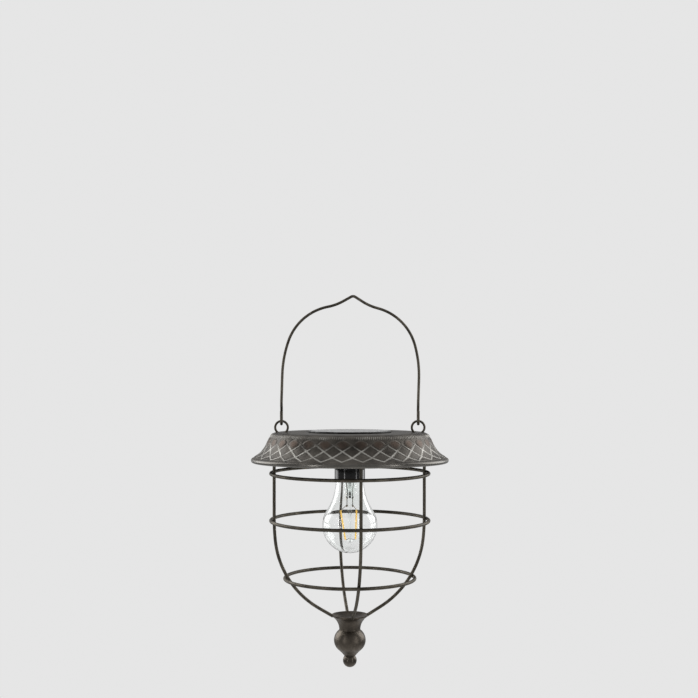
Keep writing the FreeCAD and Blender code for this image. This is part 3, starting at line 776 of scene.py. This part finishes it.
    def build(self, material: bpy.types.Material) -> bpy.types.Object:
        """Spin the outline and press the pattern into it. The eyes' wires fill their holes, so it has none.

        Args:
            material: the canopy's finish.

        Returns:
            The canopy's skin.
        """
        outer = outline((self.hole_r, self.top_z), 0.0, self.moves(0.0))
        inner = outline((self.hole_r, self.top_z - self.sheet), 0.0, self.moves(self.sheet))
        bm = bmesh.new()
        angle_layer = bm.verts.layers.float.new("heading")
        press_layer = bm.verts.layers.float.new("pressed")
        rim_layer = bm.verts.layers.float.new(RIM)
        loop = []
        for points, outside in ((outer, True), (list(reversed(inner)), False)):
            for index, (radius, z, heading) in enumerate(points):
                vert = bm.verts.new((radius * MM, 0.0, z * MM))
                on_curl = outside and index > len(points) - self.curl_steps
                vert[angle_layer] = heading
                vert[press_layer] = float(outside and not on_curl)
                vert[rim_layer] = float(on_curl)
                loop.append(vert)
        edges = [bm.edges.new((loop[i - 1], loop[i])) for i in range(len(loop))]
        bmesh.ops.spin(bm, geom=loop + edges, cent=(0, 0, 0), axis=(0, 0, 1), dvec=(0, 0, 0),
                       angle=2.0 * math.pi, steps=self.segments, use_merge=True, use_normal_flip=False)
        bmesh.ops.recalc_face_normals(bm, faces=bm.faces)
        layers = bm.verts.layers.float.new(RELIEF), bm.verts.layers.float.new(BOSS)
        angle_layer, press_layer = (bm.verts.layers.float[name] for name in ("heading", "pressed"))
        for vert in bm.verts:
            if vert[press_layer] > 0.5:
                self.press(vert, vert[angle_layer], layers)
        for name in ("heading", "pressed"):
            bm.verts.layers.float.remove(bm.verts.layers.float[name])
        tip_with_canopy(bm)
        return finish_mesh(bm, "canopy_skin", material)

    def press(self, vert: bmesh.types.BMVert, heading: float, layers: tuple) -> None:
        """Move one point of the outer face out by the pattern's height.

        Args:
            vert: the point.
            heading: the outline's direction there.
            layers: where the shares of silver (ridge, rope and painted highlight) and of boss are kept for the
                paint.
        """
        x, y, z = vert.co
        radius = math.hypot(x, y)
        drop = self.top_z - z / MM
        if drop < 0.05:
            return
        azimuth = math.degrees(math.atan2(y, x))
        height, ridge, boss = self.relief(azimuth, radius / MM, drop, -heading)
        fade = min(1.0, max(0.0, (self.rows[0] + self.edge_fade[0] - drop) / self.edge_fade[1]))
        out = Vector((x / radius, y / radius, 0.0)) * -math.sin(heading) + Vector((0, 0, math.cos(heading)))
        vert.co += out * (height * fade * MM)
        vert[layers[0]] = ridge * fade
        vert[layers[1]] = boss


# ---------------------------------------------------------------- welds


@dataclass
class WeldBeads:
    """The small puddles of weld where ribs, hoops and cup meet."""

    azimuths: tuple[float, ...] = (-82.0, 8.0, 98.0, 188.0)
    size: tuple[float, float, float] = (1.5, 2.1, 1.3)
    cup_radius: float = 18.9
    cup_z: float = -346.2
    beside: float = 1.7

    def places(self) -> list[tuple[float, float]]:
        """Radius and height of the contact between a rib and each hoop, read from the solids.

        Returns:
            One pair for each hoop, in millimetres.
        """
        result = []
        for hoop in ("hoop_top", "hoop_middle", "hoop_bottom"):
            low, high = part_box(hoop)
            section = (high[2] - low[2]) / 2.0
            result.append(((high[0] - AXIS_X - 2.0 * section) / MM + 0.1, (low[2] + high[2]) / 2.0 / MM))
        return result

    def build(self, material: bpy.types.Material) -> bpy.types.Object:
        """Make the beads as one piece.

        Args:
            material: the paint that covers them.

        Returns:
            The beads.
        """
        bm = bmesh.new()
        for radius, z in self.places():
            for index, azimuth in enumerate(self.azimuths):
                for side in (-1.0, 1.0):
                    self.bead(bm, radius, z, azimuth, side, index)
        for index, azimuth in enumerate(self.azimuths):
            self.bead(bm, self.cup_radius, self.cup_z, azimuth, 0.0, index)
        return finish_mesh(bm, "cage_weld_beads", material)

    def bead(self, bm: bmesh.types.BMesh, radius: float, z: float, azimuth: float, side: float,
             index: int) -> None:
        """Add one flattened blob in the corner beside a rib.

        Args:
            bm: the mesh that gets it.
            radius: millimetres from the axis.
            z: height in millimetres.
            azimuth: the rib's direction in degrees.
            side: -1 or 1, the side of the rib.
            index: the rib's number, which varies the bead's size.
        """
        made = bmesh.ops.create_icosphere(bm, subdivisions=2, radius=1.0)
        grow = 1.0 + 0.12 * math.sin(2.3 * index + 1.7 * side + z)
        stretch = Matrix.Diagonal((*(s * grow * MM for s in self.size), 1.0))
        shift = Matrix.Translation((radius * MM, side * self.beside * MM, z * MM))
        turn = Matrix.Rotation(math.radians(azimuth), 4, "Z")
        bmesh.ops.transform(bm, matrix=turn @ shift @ stretch, verts=made["verts"])


# ---------------------------------------------------------------- the bulb's inside


@dataclass
class StemWires:
    """The wires sealed in the bulb's stem, and the thin tube it was pumped out through."""

    top_z: float = -197.8
    pinch_top: float = -218.6
    pinch_low: float = -227.4
    lead_x: float = 3.1
    lead_r: float = 0.4
    tube_r: float = 1.3

    def build_leads(self, material: bpy.types.Material) -> bpy.types.Object:
        """Make both leads, with their crimps at the pinch.

        Args:
            material: the wires' finish.

        Returns:
            The leads.
        """
        bm = bmesh.new()
        for side in (-1.0, 1.0):
            x = side * self.lead_x
            sweep_wire(bm, [Vector(point) for point in (
                (x * 1.25, 0.0, self.top_z), (x * 1.2, 0.3, self.top_z - 6.0),
                (x * 0.9, 0.2, self.pinch_top + 3.0), (x, 0.0, self.pinch_top), (x, 0.0, self.pinch_low))],
                self.lead_r)
            for level, turn in ((self.pinch_top + 0.6, 20.0), (self.pinch_low + 0.4, -25.0)):
                self.crimp(bm, x, level, side * turn)
        tip_with_canopy(bm)
        bmesh.ops.recalc_face_normals(bm, faces=bm.faces)
        return finish_mesh(bm, "stem_lead_wires", material)

    def crimp(self, bm: bmesh.types.BMesh, x: float, z: float, turn: float) -> None:
        """Add one short sleeve, tilted a little.

        Args:
            bm: the mesh that gets it.
            x: its place in millimetres.
            z: its height in millimetres.
            turn: its tilt in degrees.
        """
        lean = Vector((math.sin(math.radians(turn)), 0.0, math.cos(math.radians(turn))))
        middle = Vector((x, 0.0, z))
        sweep_wire(bm, [middle - 1.3 * lean, middle, middle + 1.3 * lean], 2.0 * self.lead_r, sides=10)

    def build_tube(self, material: bpy.types.Material) -> bpy.types.Object:
        """Make the pump tube, which ends fused in the pinch.

        Args:
            material: the stem's glass.

        Returns:
            The tube.
        """
        bm = bmesh.new()
        sweep_wire(bm, [Vector((0.0, 0.0, self.top_z)), Vector((0.0, 0.0, self.pinch_top + 0.2))],
                   self.tube_r, sides=20)
        tip_with_canopy(bm)
        bmesh.ops.recalc_face_normals(bm, faces=bm.faces)
        return finish_mesh(bm, "stem_pump_tube", material)


@dataclass
class WindowDisc:
    """The clear disc over the cell, a hair smaller than its seat so that no two faces lie in one plane."""

    radius: float = 42.48
    low_z: float = -145.58
    top_z: float = -145.0
    edge: float = 0.15
    segments: int = 192

    def build(self, material: bpy.types.Material) -> bpy.types.Object:
        """Extrude the disc and round its upper edge.

        Args:
            material: the clear plastic.

        Returns:
            The disc.
        """
        bm = bmesh.new()
        bmesh.ops.create_circle(bm, cap_ends=True, segments=self.segments, radius=self.radius * MM)
        bmesh.ops.translate(bm, verts=bm.verts, vec=(0.0, 0.0, self.low_z * MM))
        made = bmesh.ops.extrude_face_region(bm, geom=list(bm.faces), use_keep_orig=True)
        upper = [item for item in made["geom"] if isinstance(item, bmesh.types.BMVert)]
        bmesh.ops.translate(bm, verts=upper, vec=(0.0, 0.0, (self.top_z - self.low_z) * MM))
        rim = [edge for edge in bm.edges if all(vert in upper for vert in edge.verts)]
        bmesh.ops.bevel(bm, geom=rim, offset=self.edge * MM, segments=2, profile=0.5, material=-1,
                        affect="EDGES")
        bmesh.ops.recalc_face_normals(bm, faces=bm.faces)
        tip_with_canopy(bm)
        return finish_mesh(bm, "solar_window_disc", material, smooth=False)


@dataclass
class BulbEnvelope:
    """The blown glass: a globe that draws in through a hollow curve to a straight neck."""

    globe_r: float = 30.0
    globe_z: float = -248.0
    neck_r: float = 15.2
    neck_rise: float = 50.0
    neck_run: float = 0.5
    wall: float = 0.9
    segments: int = 144

    def moves(self, shift: float) -> list[Bend | Run]:
        """The outline's stretches, on the outer face or shifted in by the wall."""
        spare = self.globe_r ** 2 - self.neck_r ** 2 - self.neck_rise ** 2
        hollow = spare / (2.0 * (self.neck_r - self.globe_r))
        turn = math.degrees(math.asin(self.neck_rise / (self.globe_r + hollow)))
        return [
            Bend(self.globe_r - shift, 90.0 + turn, 72),
            Bend(hollow + shift, -turn, 32),
            Run(self.neck_run, 1),
        ]

    def build(self, material: bpy.types.Material) -> bpy.types.Object:
        """Spin the wall's outline and close it on the axis.

        Args:
            material: the glass.

        Returns:
            The envelope.
        """
        low = self.globe_z - self.globe_r
        outer = outline((0.0, low), 0.0, self.moves(0.0))
        inner = outline((0.0, low + self.wall), 0.0, self.moves(self.wall))
        bm = bmesh.new()
        loop = [bm.verts.new((radius * MM, 0.0, z * MM)) for radius, z, _ in outer + list(reversed(inner))]
        edges = [bm.edges.new(pair) for pair in zip(loop, loop[1:])]
        bmesh.ops.spin(bm, geom=loop + edges, cent=(0, 0, 0), axis=(0, 0, 1), dvec=(0, 0, 0),
                       angle=2.0 * math.pi, steps=self.segments, use_merge=True, use_normal_flip=False)
        bmesh.ops.remove_doubles(bm, verts=bm.verts, dist=0.002 * MM)
        bmesh.ops.recalc_face_normals(bm, faces=bm.faces)
        tip_with_canopy(bm)
        return finish_mesh(bm, "bulb_envelope", material)


# ---------------------------------------------------------------- stage


@dataclass
class Studio:
    """The pale ground, the soft light and the camera."""

    pale: float = 0.79
    dim: float = 0.3
    glow: float = 0.42
    lens: float = 70.4
    camera: tuple[float, float, float] = (-0.0009, -1.489, -0.056)
    floor_z: float = -1.2
    floor_r: float = 3.0

    def build(self) -> None:
        """Make the whole stage."""
        self.make_world()
        self.make_floor()
        self.make_lights()
        self.make_camera()
        bpy.context.scene.view_settings.view_transform = "Standard"

    def make_world(self) -> None:
        """Pale behind the lantern, and dim to what it mirrors, so that the soft boxes shape the metal."""
        world = bpy.data.worlds.new("pale_studio")
        bpy.context.scene.world = world
        world.use_nodes = True
        tree = world.node_tree
        tree.nodes.clear()
        direction = add(tree, "ShaderNodeTexCoord").outputs["Generated"]
        split = add(tree, "ShaderNodeSeparateXYZ", {"Vector": direction})
        mirrored = add(tree, "ShaderNodeMapRange", {
            "Value": split.outputs["Y"], "From Min": 0.82, "From Max": 0.97,
            "To Min": self.dim, "To Max": self.glow}, interpolation_type="SMOOTHSTEP")
        path = add(tree, "ShaderNodeLightPath")
        straight = add(tree, "ShaderNodeMath", {
            0: path.outputs["Is Camera Ray"], 1: path.outputs["Is Transmission Ray"]}, operation="MAXIMUM")
        level = add(tree, "ShaderNodeMix", {
            "Factor": straight.outputs[0], "A": mirrored.outputs["Result"], "B": self.pale})
        background = add(tree, "ShaderNodeBackground", {"Color": level.outputs["Result"]})
        add(tree, "ShaderNodeOutputWorld", {"Surface": background.outputs["Background"]})

    def make_floor(self) -> None:
        """A pale round floor, well below the hanging lantern, that fades out at its edge."""
        material, tree, shader = blank_material("pale_matt_paint")
        place = add(tree, "ShaderNodeTexCoord").outputs["Object"]
        far = add(tree, "ShaderNodeVectorMath", {0: place}, operation="LENGTH")
        fade = add(tree, "ShaderNodeMapRange", {
            "Value": far.outputs["Value"], "From Min": 0.5 * self.floor_r, "From Max": 0.95 * self.floor_r,
            "To Min": 1.0, "To Max": 0.0}, interpolation_type="SMOOTHSTEP")
        shader.inputs["Base Color"].default_value = grey(0.86)
        shader.inputs["Roughness"].default_value = 0.9
        tree.links.new(fade.outputs["Result"], shader.inputs["Alpha"])
        bm = bmesh.new()
        bmesh.ops.create_circle(bm, cap_ends=True, segments=96, radius=self.floor_r)
        bmesh.ops.translate(bm, verts=bm.verts, vec=(0, 0, self.floor_z))
        finish_mesh(bm, "floor", material, smooth=False)

    def make_lights(self) -> None:
        """Two big soft boxes at the sides, two thin strips beside the camera and a weak one above."""
        self.area("box_left", (-1.15, 0.6, 0.35), (1.1, 1.6), 1.9)
        self.area("box_right", (1.15, 0.6, 0.35), (1.1, 1.6), 1.9)
        self.area("strip_left", (-0.71, -0.84, -0.1), (0.07, 1.2), 5.0)
        self.area("strip_right", (0.84, -0.71, -0.1), (0.07, 1.2), 5.0)
        self.area("top_soft", (0.0, 0.1, 1.4), (1.4, 1.4), 0.5)

    def area(self, name: str, place: tuple[float, float, float], size: tuple[float, float],
             brightness: float) -> None:
        """Add one area light that faces the lantern.

        Args:
            name: its name.
            place: where it stands.
            size: width and height in metres.
            brightness: how bright its face looks, where the pale ground is 0.8.
        """
        data = bpy.data.lights.new(name, "AREA")
        data.shape = "RECTANGLE"
        data.size, data.size_y = size
        data.energy = 4.0 * brightness * size[0] * size[1]
        light = bpy.data.objects.new(name, data)
        light.location = place
        light.rotation_euler = (Vector((0.0, 0.0, -0.22)) - Vector(place)).to_track_quat("-Z", "Y").to_euler()
        light.visible_camera = False
        bpy.context.scene.collection.objects.link(light)

    def make_camera(self) -> None:
        """A level camera at the height of the bail's legs."""
        data = bpy.data.cameras.new("camera")
        data.lens = self.lens
        data.sensor_width = 36.0
        camera = bpy.data.objects.new("camera", data)
        camera.location = Vector(self.camera) + Vector((AXIS_X, 0.0, 0.0))
        camera.rotation_euler = (math.pi / 2.0, 0.0, 0.0)
        bpy.context.scene.collection.objects.link(camera)
        bpy.context.scene.camera = camera


# ---------------------------------------------------------------- the lantern


@dataclass
class SolarLantern:
    """All finishes and pieces of the lantern."""

    def dress_metal(self) -> bpy.types.Material:
        """Paint the wires, the finial and the canopy.

        Returns:
            The paint used on the welds.
        """
        on_wire = AntiquePaint("antique_bronze_paint_on_wire", Brushing.STREAKS, ground="#555047",
                               patina="#655F55", dust="#433F38", brushed="#A8A092", roughness=0.5)
        wire = on_wire.make()
        hoop = replace(on_wire, name="antique_bronze_paint_on_hoops", streak=(0.3, 0.3, 1.0)).make()
        cast = AntiquePaint("antique_bronze_paint_on_casting", Brushing.EDGES, ground="#59524A",
                            patina="#6C645A", dust="#45403A", brushed="#938B7F", roughness=0.36).make()
        sheet = AntiquePaint("antique_bronze_paint_on_sheet", Brushing.RELIEF).make()
        dress(wire, "bail_wire", "left_eye", "right_eye", "rib_front", "rib_right", "rib_back", "rib_left")
        dress(hoop, "hoop_top", "hoop_middle", "hoop_bottom")
        dress(cast, "finial_cup", "finial_ball", "finial_tip")
        canopy = Canopy().build(sheet)
        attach(canopy, "lantern")
        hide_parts("roof_cap")
        beads = WeldBeads().build(wire)
        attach(beads, "lantern")
        return wire

    def dress_module(self) -> None:
        """Finish the solar module and what is in it."""
        gloss = MouldedAbs("polished_black_abs").make()
        matt = MouldedAbs("textured_black_abs", colour="#1A1A1B", roughness=0.45, texture_mm=0.5).make()
        nickel = PlatedMetal("nickel_plated_strip").make()
        dress(gloss, "module_housing")
        dress(matt, "housing_cover", "retaining_ring", "battery_door", "switch_knob")
        dress(SiliconCell("polycrystalline_silicon").make(), "solar_cell")
        disc = WindowDisc().build(ClearGlass("moulded_clear_window", tint="#F2F6F6", ior=1.49).make())
        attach(disc, "lantern")
        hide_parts("solar_window")
        dress(CoatedSheet("sheet_nitrile_rubber", "#101010", "#1A1A19", 0.7).make(), "module_seal")
        dress(PlatedMetal("zinc_plated_steel", colour="#A9ABAC", roughness=0.35).make(),
              "housing_screws", "finial_stud")
        dress(CoatedSheet("green_shrink_sleeve", "#1F6B3C", "#237744", 0.3).make(), "battery_cell")
        dress(CoatedSheet("green_solder_mask", "#0D4A25", "#125A2E", 0.35).make(), "circuit_board")
        dress(MouldedAbs("moulded_epoxy", colour="#161616", roughness=0.4, texture_mm=0.3).make(),
              "board_parts")
        dress(nickel, "battery_contact", "battery_spring", "switch_frame")

    def dress_lamp(self) -> None:
        """Finish the holder, the bulb and what is in the bulb."""
        dress(MouldedAbs("polished_black_holder", roughness=0.08).make(), "lamp_holder")
        envelope = BulbEnvelope().build(ClearGlass("blown_clear_glass").make())
        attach(envelope, "lantern")
        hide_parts("bulb_glass")
        stem_glass = ClearGlass("pressed_stem_glass", tint="#F6FAF8", ior=1.5).make()
        dress(stem_glass, "bulb_stem")
        dress(PhosphorCoat("yellow_phosphor_coat").make(), "filament_left", "filament_right")
        wire = PlatedMetal("nickel_lead_wire", colour="#8E8474").make()
        dress(wire, "lead_wires", "support_wires")
        for piece, slot in ((StemWires().build_leads(wire), "spring_plate"),
                            (StemWires().build_tube(stem_glass), "bulb_clear")):
            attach(piece, "lantern")
        dress(PlatedMetal("nickel_plated_cap").make(), "bulb_cap")


def main() -> None:
    """Build the lantern and its stage."""
    logging.basicConfig(level=logging.INFO, format="%(name)s %(message)s")
    lantern = SolarLantern()
    lantern.dress_metal()
    lantern.dress_module()
    lantern.dress_lamp()
    Studio().build()


if __name__ == "__main__":
    main()
